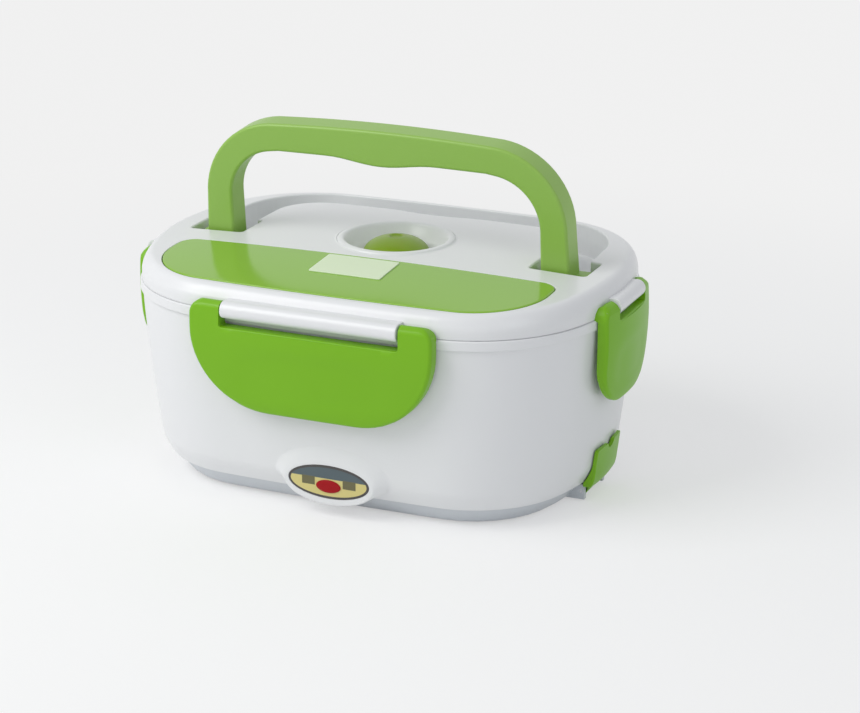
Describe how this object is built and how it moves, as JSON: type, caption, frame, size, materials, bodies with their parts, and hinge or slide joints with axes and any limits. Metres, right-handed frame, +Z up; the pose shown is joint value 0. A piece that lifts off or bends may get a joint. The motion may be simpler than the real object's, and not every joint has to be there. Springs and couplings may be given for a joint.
{
  "type": "electric lunch box",
  "caption": "Heated lunch box with a lift-off lid held by hinged latches, a folding handle, a steam plug, a spoon bay, a divided tray with a side box and a covered power inlet.",
  "frame": {"origin": "centre of the box's footprint on the table, under the feet, at z = 0", "axes": "+Z up, +X along the long side towards the power inlet, -Y the front with the oval indicator"},
  "size_m": [0.2466, 0.182, 0.1675],
  "materials": {
    "white_shell": "glossy moulded plastic",
    "white_inner": "smooth moulded plastic",
    "base_white": "fine matt plastic",
    "green_grip": "satin plastic",
    "green_flap": "satin plastic",
    "label_pale": "bare printed plate",
    "olive_silicone": "soft silicone",
    "clear_silicone": "soft silicone",
    "dark_rubber": "matt rubber",
    "panel_face": "printed face plate",
    "red_lens": "translucent plastic",
    "lamp": "small neon lamp",
    "screw_steel": "zinc plated",
    "pin_steel": "ground pin",
    "plate_alloy": "rolled plate",
    "heater_alloy": "extruded case",
    "sensor_dark": "phenolic case",
    "fuse_metal": "plated can",
    "inlet_dark": "moulded inlet",
    "contact_brass": "plated contact",
    "lead_brown": "insulation",
    "lead_blue": "insulation",
    "lead_grey": "insulation"
  },
  "bodies": {
    "base": {"outer_shell": "white_shell", "base_plate": "base_white", "base_screws": "screw_steel", "rubber_feet": "dark_rubber", "heating_plate": "plate_alloy", "plate_seal": "clear_silicone", "ptc_heater": "heater_alloy", "heater_clamp": "screw_steel", "heater_screws": "screw_steel", "thermostat": "sensor_dark", "thermal_fuse": "fuse_metal", "fuse_clip": "screw_steel", "power_inlet": "inlet_dark", "inlet_pins": "contact_brass", "flap_pin": "pin_steel", "indicator_panel": "panel_face", "indicator_lens": "red_lens", "indicator_lamp": "lamp", "live_lead": "lead_brown", "switched_lead": "lead_brown", "neutral_lead": "lead_blue", "lamp_leads": "lead_grey"},
    "lid": {"lid_shell": "white_shell", "lid_liner": "white_inner", "lid_gasket": "clear_silicone", "handle_pins": "pin_steel", "latch_pins": "pin_steel"},
    "carry_handle": {"handle": "green_grip"},
    "latch_front": {"front_latch": "green_flap"},
    "latch_back": {"back_latch": "green_flap"},
    "latch_right": {"right_latch": "green_flap"},
    "latch_left": {"left_latch": "green_flap"},
    "cover": {"spoon_cover": "green_flap", "label_plate": "label_pale"},
    "spoon_body": {"spoon": "white_inner"},
    "steam_plug": {"vent_plug": "olive_silicone"},
    "tray": {"food_tray": "white_inner"},
    "small_box": {"side_box": "white_inner"},
    "small_box_lid": {"side_box_lid": "green_flap"},
    "flap": {"inlet_flap": "green_flap"}
  },
  "joints": [
    {"name": "lid_lift", "type": "slide", "parent": "base", "child": "lid", "axis": [0, 0, 1], "range_m": [0, 0.15]},
    {"name": "tray_lift", "type": "slide", "parent": "base", "child": "tray", "axis": [0, 0, 1], "range_m": [0, 0.075]},
    {"name": "small_box_lift", "type": "slide", "parent": "tray", "child": "small_box", "axis": [0, 0, 1], "range_m": [0, 0.03]},
    {"name": "small_box_lid_lift", "type": "slide", "parent": "small_box", "child": "small_box_lid", "axis": [0, 0, 1], "range_m": [0, 0.015]},
    {"name": "handle_fold", "type": "hinge", "parent": "lid", "child": "carry_handle", "pos_m": [0, 0.0035, 0.097], "axis": [-1, 0, 0], "range_deg": [0, 94.7]},
    {"name": "front_latch_hinge", "type": "hinge", "parent": "lid", "child": "latch_front", "pos_m": [0, -0.0869, 0.097], "axis": [-1, 0, 0], "range_deg": [-3, 120]},
    {"name": "back_latch_hinge", "type": "hinge", "parent": "lid", "child": "latch_back", "pos_m": [0, 0.0869, 0.097], "axis": [1, 0, 0], "range_deg": [-3, 120]},
    {"name": "right_latch_hinge", "type": "hinge", "parent": "lid", "child": "latch_right", "pos_m": [0.1182, 0, 0.097], "axis": [0, -1, 0], "range_deg": [-3, 120]},
    {"name": "left_latch_hinge", "type": "hinge", "parent": "lid", "child": "latch_left", "pos_m": [-0.1182, 0, 0.097], "axis": [0, 1, 0], "range_deg": [-3, 120]},
    {"name": "spoon_cover_lift", "type": "slide", "parent": "lid", "child": "cover", "axis": [0, 0, 1], "range_m": [0, 0.03]},
    {"name": "spoon_lift", "type": "slide", "parent": "lid", "child": "spoon_body", "axis": [0, 0, 1], "range_m": [0, 0.018]},
    {"name": "steam_plug_pull", "type": "slide", "parent": "lid", "child": "steam_plug", "axis": [0, 0, 1], "range_m": [0, 0.016]},
    {"name": "inlet_flap_hinge", "type": "hinge", "parent": "base", "child": "flap", "pos_m": [0.1034, 0, 0.005], "axis": [0, 1, 0], "range_deg": [0, 95]}
  ],
  "couplings": [
    {"joint": "tray_lift", "follows": "lid_lift", "ratio": 0.5},
    {"joint": "small_box_lift", "follows": "lid_lift", "ratio": 0.2},
    {"joint": "small_box_lid_lift", "follows": "lid_lift", "ratio": 0.1},
    {"joint": "spoon_lift", "follows": "spoon_cover_lift", "ratio": 0.6}
  ]
}
